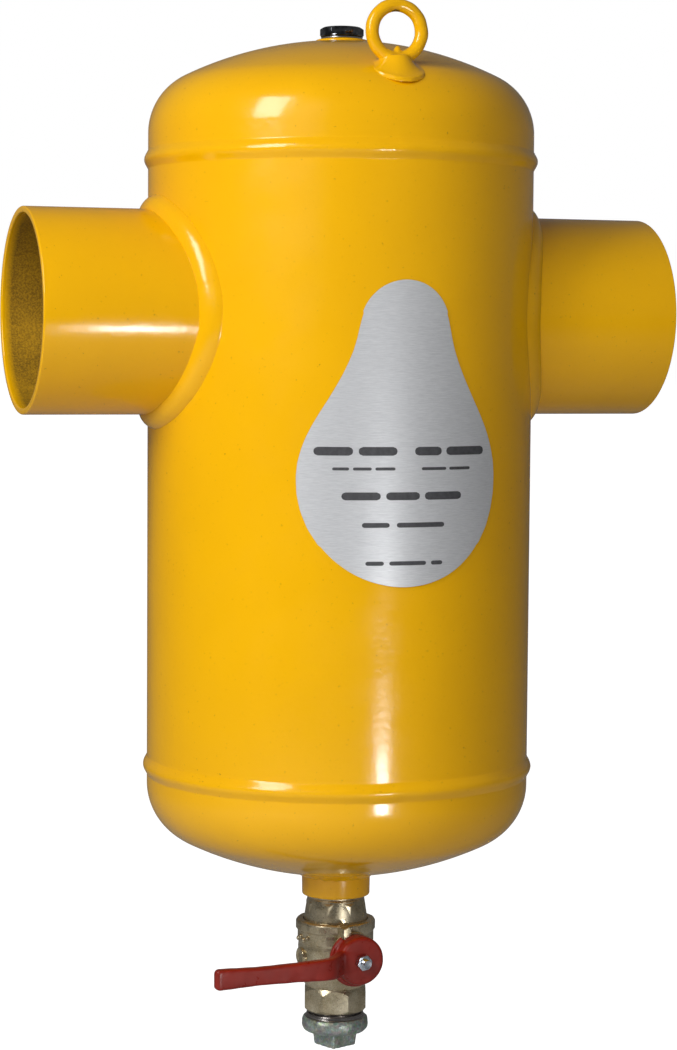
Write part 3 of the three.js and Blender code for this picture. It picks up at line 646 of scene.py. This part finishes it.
def weld_mound(centre, spread, neck, top, seed):
    """A flared mound whose skirt runs out thin on the dome: spread is its reach there, neck its top radius."""
    steps, rows = 96, 26
    verts, faces = [], []
    for i in range(steps):
        t = 2 * math.pi * i / steps
        way = Vector((math.cos(t), math.sin(t), 0))
        reach = spread * (1 + 0.07 * noise.noise(way * 1.6 + Vector((seed, 0, 0))))
        for j in range(rows + 1):
            s = j / rows
            rho = neck + (reach - neck) * s
            foot = Vector((centre[0], centre[1], 0)) + way * rho
            ground = dome_height(math.hypot(foot.x, foot.y))
            rise = (1 - s) ** 2.1
            verts.append((foot.x, foot.y, ground - 0.3 + (top - ground) * rise))
        foot = Vector((centre[0], centre[1], 0)) + way * reach
        verts.append((foot.x, foot.y, dome_height(math.hypot(foot.x, foot.y)) - 3))
    row = rows + 2
    for i in range(steps):
        a, b = i * row, ((i + 1) % steps) * row
        faces += [(a + j, a + j + 1, b + j + 1, b + j) for j in range(row - 1)]
    faces.append(tuple(i * row for i in range(steps)))
    faces.append(tuple(i * row + row - 1 for i in reversed(range(steps))))
    return build("foot", (verts, faces))


def lifting_eye():
    at = Matrix.Translation((0, EYE_Y, EYE_Z))
    ring = build("ring", torus(EYE_R, EYE_BAR), at)
    foot = weld_mound((0, EYE_Y), 15.0, 6.8, EYE_Z - EYE_R + 1.6, 4.0)
    nib = build("nib", turned([(0, -15), (3.4, -15), (2.4, -10.4), (1.0, -7.8), (0, -7.4)], 24),
                Matrix.Translation((0.4, EYE_Y, EYE_Z)))
    obj = join("lifting_eye_painted", [ring, foot, nib])
    remesh(obj, 0.45, smooth=12)
    roughen(obj, 0.22, 6, 3.0)
    layer = obj.data.attributes.new("chip", "FLOAT", "POINT")
    for v in obj.data.vertices:
        p = v.co / MM - Vector((-1.2, EYE_Y, EYE_Z + EYE_R - EYE_BAR))
        layer.data[v.index].value = max(0.0, 1.25 - Vector((p.x / 4.6, p.y / 3.2, p.z / 2.4)).length)
    return finish_piece(obj, CHIPPED, ["lifting_eye", "lifting_eye_weld"], angle=60)


def vent():
    top = 154.9
    socket = [(8.7, top - 16), (15, top - 16), (15, top), (8.7, top)]
    obj = build("vent_boss", turned(rounded(socket, [0, 0, 1.2, 0.4]), 96))
    finish_piece(obj, PAINT, ["vent_socket"])
    seal = rounded([(8.7, top + 0.3), (11.8, top + 0.3), (11.8, top + 1.3), (8.7, top + 1.3)], 0.25)
    finish_piece(build("vent_washer", turned(seal, 96)), STAINLESS, ["vent_seal"], "vent_seal")
    seat = top + 1.6
    body = [(0, seat - 12), (7.3, seat - 12), (8.33, seat - 11), (8.33, seat), (12, seat), (12, seat + 1.2), (0, seat + 1.2)]
    obj = build("vent_plug_polished", turned(rounded(body, [0, 0, 0, 0, 0.4, 0.5, 0], 4), 96))
    head = build("head", prism(6, 21.6, seat + 0.8, 162, -18))
    cone = [(0, seat), (13, seat), (13, 160.6), (10.4, 162), (0, 162)]
    boolean(head, build("cone", turned(cone, 96)), "INTERSECT")
    bevel(head, 0.35)
    finish_piece(join("vent_plug_polished", [obj, head]), NICKEL, ["vent_plug"], "vent_plug")


# ---------- Label ----------

LABEL_ROWS = [
    (-146.8, 0.0), (-145.9, 10.3), (-143.1, 21.3), (-138.6, 31.0), (-132.6, 39.4), (-125.0, 46.7), (-115.5, 53.1),
    (-106.0, 57.0), (-97.0, 59.0), (-87.5, 59.4), (-80.0, 58.6), (-72.8, 56.6), (-66.3, 54.0), (-59.8, 50.6),
    (-53.3, 46.7), (-46.9, 42.6), (-40.4, 38.7), (-34.0, 35.1), (-27.5, 31.9), (-21.0, 29.2), (-14.7, 27.3),
    (-8.4, 25.9), (-2.0, 24.3), (4.3, 21.4), (10.7, 16.4), (14.6, 11.0), (16.6, 5.6), (17.3, 0.0),
]


def label_half_width(z):
    """The half-width of the drop at a height: straight lines between the rows, with circular arcs at its bottom and
    top.
    """
    zs = [row[0] for row in LABEL_ROWS]
    ws = [row[1] for row in LABEL_ROWS]
    if z < -125:
        return math.sqrt(max(0.0, 59.3**2 - (z + 87.5) ** 2))
    if z > 0.5:
        return math.sqrt(max(0.0, 25.6**2 - (z + 8.3) ** 2))
    return float(np.interp(z, zs, ws))


def on_wall(x, z, r):
    """A point at an arc length round the wall from the front, and a height."""
    a = x / R
    return (r * math.sin(a), -r * math.cos(a), z)


def wall_patch(rows, r_low, r_high, columns=48):
    """A thin curved sheet from rows of (height, left, right), in arc millimetres."""
    verts, faces = [], []
    n = columns + 1
    for r in (r_low, r_high):
        for z, left, right in rows:
            verts += [on_wall(left + (right - left) * j / columns, z, r) for j in range(n)]
    size = len(rows) * n
    for i in range(len(rows) - 1):
        for j in range(columns):
            a = i * n + j
            faces.append((a, a + n, a + n + 1, a + 1))
            faces.append((size + a, size + a + 1, size + a + n + 1, size + a + n))
    for i in range(len(rows) - 1):
        for a, b in ((i * n, (i + 1) * n), (i * n + n - 1, (i + 1) * n + n - 1)):
            faces.append((a, b, size + b, size + a))
    for start in (0, (len(rows) - 1) * n):
        for j in range(columns):
            a = start + j
            faces.append((a, a + 1, size + a + 1, size + a))
    return verts, faces


def label():
    low, high = -146.8, 17.3
    turns = [math.cos(math.pi * i / 140) for i in range(141)]
    smooth = []
    for t in turns:
        z = (low + high) / 2 - (high - low) / 2 * t
        near = [label_half_width(z + d) for d in (-1.6, -0.8, 0, 0.8, 1.6)] if -120 < z < 0 else [label_half_width(z)]
        smooth.append((z, sum(near) / len(near)))
    smooth[0] = (low, 0.4)
    smooth[-1] = (high, 0.4)
    obj = build("label_film", wall_patch([(z, -w, w) for z, w in smooth], R + 0.25, R + 0.6))
    finish_piece(obj, LABEL, ["name_label"])
    dashes = []
    # Plain dashes stand where the printing is: (height, dash height, list of (left, right)).
    printing = [
        (-74.0, 4.6, [(-50, -29), (-26, -5), (5, 21), (24, 50)]),
        (-83.4, 1.6, [(-40, -31), (-29, -19), (-17, -6), (9, 24), (26, 40)]),
        (-98.0, 4.2, [(-35, -14), (-11, 8), (11, 34)]),
        (-113.5, 2.6, [(-24, -9), (-5, 23)]),
        (-134.0, 2.2, [(-22, -12), (-9, 12), (15, 22)]),
    ]
    for z, tall, marks in printing:
        for left, right in marks:
            edge = tall / 2
            rows = []
            for k in range(9):
                s = -1 + 2 * k / 8
                pull = edge * (1 - math.sqrt(max(0.0, 1 - s * s)))
                rows.append((z + s * edge, left + pull, right - pull))
            dashes.append(build("dash", wall_patch(rows, R + 0.55, R + 0.68, 14)))
    finish_piece(join("label_dashes", dashes), INK, [])


# ---------- Drain socket and valve ----------


def drain_socket():
    bore, out, low, high = 16.95, 19.75, -334.8, -311
    outline = [(bore, low), (out - 0.2, low), (out, -323), (out, high), (bore, high)]
    obj = build("drain_boss", turned(rounded(outline, [0.6, 2.4, 0, 0.4, 0.4], 6), 128))
    roughen(obj, 0.18, 9, 1.0)
    finish_piece(obj, PAINT, ["drain_socket"], angle=50)
    steps, across = 260, 14
    verts, faces = [], []
    for i in range(steps):
        t = 2 * math.pi * i / steps
        way = Vector((math.cos(t) * 3, math.sin(t) * 3, 5))
        leg = 3.0 * (1 + 0.35 * noise.noise(way * 2))
        down = 2.6 * (1 + 0.4 * noise.noise(way * 2 + Vector((0, 0, 5))))
        outer = Vector((out + leg + 1.2, -321.2 + 0.9))
        lower = Vector((out - 0.1, -321.2 - down))
        for j in range(across + 1):
            s = j / across
            p = outer.lerp(lower, s)
            p += Vector((0.6, -0.6)) * (0.8 * math.sin(math.pi * s) * (1 + 0.5 * noise.noise(way * 6 + Vector((0, 0, s)))))
            verts.append((p.x * math.cos(t), p.x * math.sin(t), p.y))
        verts.append(((out - 1) * math.cos(t), (out - 1) * math.sin(t), -318.5))
    row = across + 2
    for i in range(steps):
        a, b = i * row, ((i + 1) % steps) * row
        faces += [(a + j, b + j, b + (j + 1) % row, a + (j + 1) % row) for j in range(row)]
    obj = build("drain_boss_weld", (verts, faces))
    finish_piece(obj, PAINT, ["drain_socket_weld"], angle=60)


def chamfered_nut(sides, flats, low, high, turn, cone):
    nut = build("nut", prism(sides, flats, low, high, turn))
    boolean(nut, build("cone", turned(cone, 96)), "INTERSECT")
    return bevel(nut, 0.5)


def end_piece():
    top = -321
    shaft = [(10, -353.4), (18.4, -353.4), (18.4, -348.6), (16.6, -337.2), (16.2, -336.4), (16.6, -335.8)]
    z = -335.2
    while z < top - 2.4:
        shaft += [(16.6, z), (15.5, z + 1.15)]
        z += 2.309
    shaft += [(16.0, top - 1), (15.2, top), (10, top)]
    obj = build("end_piece_body", turned(shaft, 96), UPRIGHT)
    cone = [(0, -349), (18.2, -349), (18.2, -340.2), (16.0, -336.9), (0, -336.9)]
    nut = chamfered_nut(8, 33, -348.7, -336.6, -12, cone)
    boolean(nut, build("bore", turned([(0, -360), (14, -360), (14, -330), (0, -330)], 64)), "DIFFERENCE")
    obj = join("valve_end_plated", [obj, nut])
    finish_piece(obj, BRASS, ["valve_end_piece"], angle=14)


def valve_body():
    outline = [
        (17.2, -388.3), (19.4, -384.5), (20.9, -379.5), (21.5, -374), (21.7, -364.5), (21.5, -362.6), (22.0, -361.8),
        (22.0, -355.6), (22.6, -354.9), (23.0, -354.4), (23.0, -350.2), (22.2, -349.0), (18.8, -349.0), (18.8, -353.7),
        (16.4, -353.7), (16.4, -380.3), (10, -380.3), (10, -384),
    ]
    barrel = build("barrel", turned(rounded(outline, [0.4, 0, 0, 0, 0.5, 0.5, 0.5, 0.7, 0, 0.7, 0.9, 0.9, 0.3, 0, 0, 0, 0, 0], 4), 160), UPRIGHT)
    cone = [(0, -402.5), (17.0, -402.5), (19.0, -400.4), (19.0, -391.4), (17.6, -389.0), (17.2, -387.6), (0, -387.6)]
    nut = chamfered_nut(8, 35.2, -402.5, -387.4, -18, cone)
    boolean(nut, build("bore", turned([(0, -410), (16.95, -410), (16.95, -386.3), (10, -383), (10, -380), (0, -380)], 96)),
            "DIFFERENCE")
    boss = build("boss", turned(rounded([(6.4, 17.5), (10.4, 17.5), (10.2, 23.5), (14.5, 23.8), (14.5, 26.5), (6.4, 26.5)],
                                        [0, 0, 1.2, 0.3, 0.6, 0.3]), 96), STEM)
    lug_points = [(-8.0, 10.5), (-3.2, 10.5), (-3.2, 17.9), (-4.6, 19.2), (-8.4, 17.6)]
    lug = bevel(build("lug", extruded(lug_points, 19, 30.2), STEM), 0.7)
    # Marks cast on the left: a round pad with a raised rim, and a short row of beads on the band.
    side = UPRIGHT @ Matrix.Translation((0, 0, -370)) @ Matrix.Rotation(-math.pi / 2, 4, "Y")
    pad = [(0, 19), (5.4, 19), (5.4, 22.4), (4.6, 23.0), (3.7, 22.5), (3.2, 22.0), (0, 22.1)]
    pad = build("pad", turned(rounded(pad, 0.5, 3, False), 48), side @ Matrix.Rotation(0, 4, "Z"))
    beads = []
    for k in range(4):
        turn = Matrix.Rotation(math.radians(-98 + 9 * k), 4, "Z")
        ball = build("bead", turned(arc((0, 0), 1.5, -90, 90, 10), 20),
                     UPRIGHT @ turn @ Matrix.Translation((0, -22.0, -359.2 + (0.9 if k % 2 else -0.6))))
        beads.append(ball)
    skin = join("skin", [barrel, boss])
    obj = join("valve_body_plated", [skin, nut, lug, pad, *beads])
    roughen(obj, 0.16, 2.4, 2.0, lambda p: 1.0 if p.z > -388 else 0.25)
    finish_piece(obj, BRASS, ["valve_body"], angle=16)


def gland_and_stem():
    nut = bevel(build("gland", prism(6, 15, 26.8, 30.5), STEM), 0.4)
    finish_piece(join("gland_nut_plated", [nut]), BRASS, ["gland_nut"])


def lever():
    """The dipped lever: a hub disc with a rim, and an arm cranked outwards, drawn towards -X."""
    hub_back, face = 27.3, 37.4
    hub = [(2.8, hub_back + 5), (11, hub_back + 5), (11, hub_back), (13.9, hub_back), (13.9, face), (2.8, face)]
    hub = build("hub", turned(rounded(hub, [0, 0, 0.4, 1.2, 2.2, 0.6], 6), 128))
    skirt_out = [(16.2 * math.cos(a), 16.2 * math.sin(a)) for a in np.linspace(math.radians(125), math.radians(365), 60)]
    skirt_in = [(11.5 * math.cos(a), 11.5 * math.sin(a)) for a in np.linspace(math.radians(365), math.radians(125), 60)]
    skirt = bevel(build("skirt", extruded(skirt_out + skirt_in, hub_back, 30)), 0.6)
    centre = [(-3.5, 35.2), (-9.5, 35.2), (-13, 36.2), (-21.5, 45.4), (-25.5, 46.9), (-32, 47.0), (-60, 46.7), (-93.6, 46.4)]
    path = rounded(centre, [0, 3, 2, 3, 3, 0, 0, 0], 6, closed=False)
    lengths = np.concatenate([[0], np.cumsum([math.dist(a, b) for a, b in zip(path, path[1:])])])
    total = lengths[-1]
    count, around = 96, 40
    verts, faces = [], []
    for i in range(count + 1):
        at = total * (1 - (1 - i / count) ** 1.35)
        x = float(np.interp(at, lengths, [p[0] for p in path]))
        w = float(np.interp(at, lengths, [p[1] for p in path]))
        ahead = Vector((float(np.interp(min(at + 0.6, total), lengths, [p[0] for p in path])),
                        float(np.interp(min(at + 0.6, total), lengths, [p[1] for p in path]))))
        back = Vector((float(np.interp(max(at - 0.6, 0), lengths, [p[0] for p in path])),
                       float(np.interp(max(at - 0.6, 0), lengths, [p[1] for p in path]))))
        along = (ahead - back).normalized()
        up = Vector((-along.y, along.x))
        if up.y < 0:
            up = -up
        half = float(np.interp(-x, [0, 6, 14, 24, 45, 68, 84, 94], [7.2, 7.0, 6.6, 6.1, 5.3, 4.95, 5.6, 5.95]))
        thick = float(np.interp(-x, [0, 12, 24, 94], [2.3, 2.5, 2.9, 2.9]))
        end = max(0.0, (at - (total - 3.2)) / 3.2)
        squash = math.sqrt(max(0.0, 1 - end**2)) if end > 0 else 1.0
        half, thick = half - 3.0 * (1 - squash), max(0.05, thick * squash)
        for j in range(around):
            b = 2 * math.pi * j / around
            c, s = math.cos(b), math.sin(b)
            power = 0.32
            y = half * math.copysign(abs(c) ** power, c)
            d = thick * math.copysign(abs(s) ** power, s)
            verts.append((x + up.x * d, y, w + up.y * d))
    for i in range(count):
        for j in range(around):
            k = (j + 1) % around
            faces.append((i * around + j, i * around + k, (i + 1) * around + k, (i + 1) * around + j))
    faces += [tuple(range(around - 1, -1, -1)), tuple(count * around + j for j in range(around))]
    arm = build("arm", (verts, faces))
    obj = join("lever_dipped", [hub, skirt, arm])
    remesh(obj, 0.42, smooth=3)
    hole = build("hole", turned([(0, 0), (2.8, 0), (2.8, 60), (0, 60)], 48))
    boolean(obj, hole, "DIFFERENCE")
    obj.data.transform(Matrix.Scale(MM, 4) @ STEM @ Matrix.Scale(1 / MM, 4))
    roughen(obj, 0.1, 6, 4.0)
    finish_piece(obj, RED, ["lever"], "lever", angle=50)
    nut = build("nut", prism(6, 8, 37.7, 41.6, 10))
    cone = [(0, 37), (5, 37), (5, 40.9), (4.1, 41.7), (0, 41.7)]
    boolean(nut, build("cone", turned(cone, 64)), "INTERSECT")
    bevel(nut, 0.25)
    dome = build("dome", turned(rounded([(2.7, 41.2), (3.9, 41.2), (3.7, 43.0), (2.7, 43.0)], [0, 0.1, 0.9, 0.3]), 64))
    obj = join("lever_nut_zinc", [nut, dome])
    boolean(obj, build("hole", turned([(0, 0), (2.6, 0), (2.6, 60), (0, 60)], 32)), "DIFFERENCE")
    obj.data.transform(Matrix.Scale(MM, 4) @ STEM @ Matrix.Scale(1 / MM, 4))
    finish_piece(obj, ZINC, ["lever_nut"], "lever")
    stud = [(0, 16.3), (5.9, 16.3), (5.9, 18.6), (4.2, 18.6), (4.2, 35.4), (2.4, 35.4)]
    w = 37.0
    while w < 44.2:
        stud += [(2.5, w), (2.15, w + 0.4)]
        w += 0.8
    stud += [(2.5, 44.8), (2.2, 45.5), (0, 45.3)]
    shaft = build("stud", turned(stud, 48), STEM)
    tang = bevel(build("tang", ([(x, y, z) for z in (12.6, 17.1) for y in (-2, 2) for x in (-4, 4)],
                                [(0, 1, 3, 2), (4, 6, 7, 5), (0, 4, 5, 1), (2, 3, 7, 6), (0, 2, 6, 4), (1, 5, 7, 3)]),
                       STEM), 0.3)
    finish_piece(join("valve_stem_zinc", [shaft, tang]), ZINC, ["valve_stem"], "lever")


def drain_plug():
    outline = [
        (0, -409.5), (11, -409.5), (13, -407), (13, -388.5), (15.9, -388.5), (15.9, -402.3), (15.2, -403.0), (15.4, -403.6),
        (16.5, -404.2), (17.1, -406.3), (18.2, -406.5), (19.1, -408.2), (19.25, -411.0), (18.8, -413.2), (17.0, -414.9),
        (12, -415.2), (0, -415.2),
    ]
    body = build("plug", turned(rounded(list(reversed(outline)), [0, 0, 1.2, 1.2, 1.2, 1, 0.8, 0.3, 0.3, 0.3, 0, 0, 0, 0, 0, 0, 0], 4, False), 128), UPRIGHT)
    half = 9.3
    verts = []
    for k, (z, h) in enumerate([(-413.8, half + 0.9), (-415.6, half + 0.15), (-423.3, half - 0.6), (-424.0, half - 1.3)]):
        verts += [(x * h, y * h, z) for x, y in ((-1, -1), (1, -1), (1, 1), (-1, 1))]
    faces = [(3, 2, 1, 0), (12, 13, 14, 15)]
    for k in range(3):
        faces += [(4 * k + j, 4 * k + (j + 1) % 4, 4 * k + 4 + (j + 1) % 4, 4 * k + 4 + j) for j in range(4)]
    square = build("square", (verts, faces), Matrix.Rotation(math.radians(21), 4, "Z"))
    bmesh_fix(square)
    bevel(square, 0.9, 4, 40)
    mod = square.modifiers.new("sub", "SUBSURF")
    mod.subdivision_type, mod.levels, mod.render_levels = "SIMPLE", 4, 4
    apply_modifiers(square)
    obj = join("drain_plug_galvanised", [body, square])
    roughen(obj, 0.3, 2.2, 6.0, lambda p: 1.0 if p.z < -406.8 else 0.0)
    obj = finish_piece(obj, GALVANISED, ["drain_plug"], "drain_plug", angle=40)
    obj.data.materials.append(TURNED_STEEL)
    for face in obj.data.polygons:
        c = face.center / MM
        if c.z > -406.4 and math.hypot(c.x, c.y) > 14:
            face.material_index = 1


def bmesh_fix(obj):
    mesh = bmesh.new()
    mesh.from_mesh(obj.data)
    bmesh.ops.recalc_face_normals(mesh, faces=mesh.faces)
    mesh.to_mesh(obj.data)
    mesh.free()


# ---------- Inner pieces that stay as the CAD made them ----------


def inner_pieces():
    looks = {"core_tube": COPPER, "wire_sleeve": COPPER, "lower_tube_plate": STAINLESS, "upper_tube_plate": STAINLESS,
             "plate_bracket": PAINT, "valve_ball": CHROME, "upper_ball_seat": PTFE, "lower_ball_seat": PTFE,
             "stem_packing": PTFE, "drain_plug_tape": PTFE}
    for name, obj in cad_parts.items():
        for start, material in looks.items():
            if name.startswith(start):
                obj.data.materials.clear()
                obj.data.materials.append(material)


# ---------- Scene ----------


def camera():
    """The viewing place of the picture, solved from the standard tube sizes."""
    azimuth, elevation, roll = math.radians(-19.09), math.radians(3.89), math.radians(0.41)
    distance, side, height = 1504.34, 0.07, -120.77
    back = Vector((math.sin(azimuth) * math.cos(elevation), -math.cos(azimuth) * math.cos(elevation), math.sin(elevation)))
    right = Vector((math.cos(azimuth), math.sin(azimuth), 0))
    up = back.cross(right)
    place = right * side + Vector((0, 0, height)) + back * distance
    right2 = right * math.cos(roll) + up * math.sin(roll)
    up2 = -right * math.sin(roll) + up * math.cos(roll)
    data = bpy.data.cameras.new("camera")
    data.sensor_width = 36
    data.lens = 89.75
    cam = bpy.data.objects.new("camera", data)
    bpy.context.scene.collection.objects.link(cam)
    turn = Matrix((right2, up2, back)).transposed().to_4x4()
    cam.matrix_world = Matrix.Translation(place * MM) @ turn
    bpy.context.scene.camera = cam


def softbox(name, azimuth, elevation, distance, wide, tall, power, aim=(0, 0, -0.1), shown=True):
    """A rectangular light. One that isn't shown gives light, but no reflection of itself."""
    a, e = math.radians(azimuth), math.radians(elevation)
    back = Vector((math.sin(a) * math.cos(e), -math.cos(a) * math.cos(e), math.sin(e)))
    data = bpy.data.lights.new(name, "AREA")
    data.shape, data.size, data.size_y = "RECTANGLE", wide, tall
    data.energy = power
    obj = bpy.data.objects.new(name, data)
    obj.location = Vector(aim) + back * distance
    obj.rotation_mode = "QUATERNION"
    obj.rotation_quaternion = (-back).to_track_quat("-Z", "Y")
    obj.visible_glossy = shown
    bpy.context.scene.collection.objects.link(obj)


def studio():
    scene = bpy.context.scene
    scene.view_settings.view_transform = "Standard"
    scene.view_settings.look = "None"
    softbox("big_left", -62, 30, 1.8, 0.5, 1.0, 15)
    softbox("low_strip", 7, -17, 1.7, 0.2, 0.42, 12, aim=(0, 0, -0.2))
    softbox("left_fill", -46, 22, 2.6, 1.4, 1.4, 33, shown=False)
    softbox("low_fill", -14, -26, 2.2, 1.2, 1.0, 17, shown=False)
    world = bpy.data.worlds.new("studio")
    scene.world = world
    world.use_nodes = True
    nodes, links = world.node_tree.nodes, world.node_tree.links
    links.new(seen_white(nodes, links, 0.13), nodes["Background"].inputs["Color"])
    verts = [(-40000, -40000, -640), (40000, -40000, -640), (40000, 40000, -640), (-40000, 40000, -640)]
    floor = build("floor", (verts, [(0, 1, 2, 3)]))
    n = Nodes("pale_floor")
    links = n.tree.links
    n.set(Base_Color=(0.55, 0.55, 0.55, 1), Roughness=0.9, Specular_IOR_Level=0.1)
    n.set(Emission_Strength=1.0)
    links.new(seen_white(n.tree.nodes, links, 0.0), n.shader.inputs["Emission Color"])
    floor.data.materials.append(n.material)


def seen_white(nodes, links, level):
    """A colour that is white where the camera sees it and grey, at a level, for the light it gives."""
    path = nodes.new("ShaderNodeLightPath")
    mix = nodes.new("ShaderNodeMix")
    mix.data_type = "RGBA"
    mix.inputs[6].default_value = (level, level, level, 1)
    mix.inputs[7].default_value = (1, 1, 1, 1)
    links.new(path.outputs["Is Camera Ray"], mix.inputs[0])
    return mix.outputs[2]


def main():
    camera()
    studio()
    shell_wall()
    dished_end("top_end", TOP_SEAM, TOP_FLANGE, 1, 15.0, ["top_dished_end"])
    dished_end("bottom_end", BOTTOM_SEAM, BOTTOM_FLANGE, -1, 19.6, ["bottom_dished_end"])
    seam_bead("top_bead", TOP_SEAM, 1.3, ["top_seam_weld"])
    seam_bead("bottom_bead", BOTTOM_SEAM, 5.1, ["bottom_seam_weld"])
    pipe("inlet_stub", -1, ["inlet_pipe"])
    pipe("outlet_stub", 1, ["outlet_pipe"])
    pipe_weld("inlet_bead", -1, 2.2, ["inlet_weld"])
    pipe_weld("outlet_bead", 1, 8.4, ["outlet_weld"])
    lifting_eye()
    vent()
    label()
    drain_socket()
    end_piece()
    valve_body()
    gland_and_stem()
    lever()
    drain_plug()
    inner_pieces()


main()
bpy.context.view_layer.update()
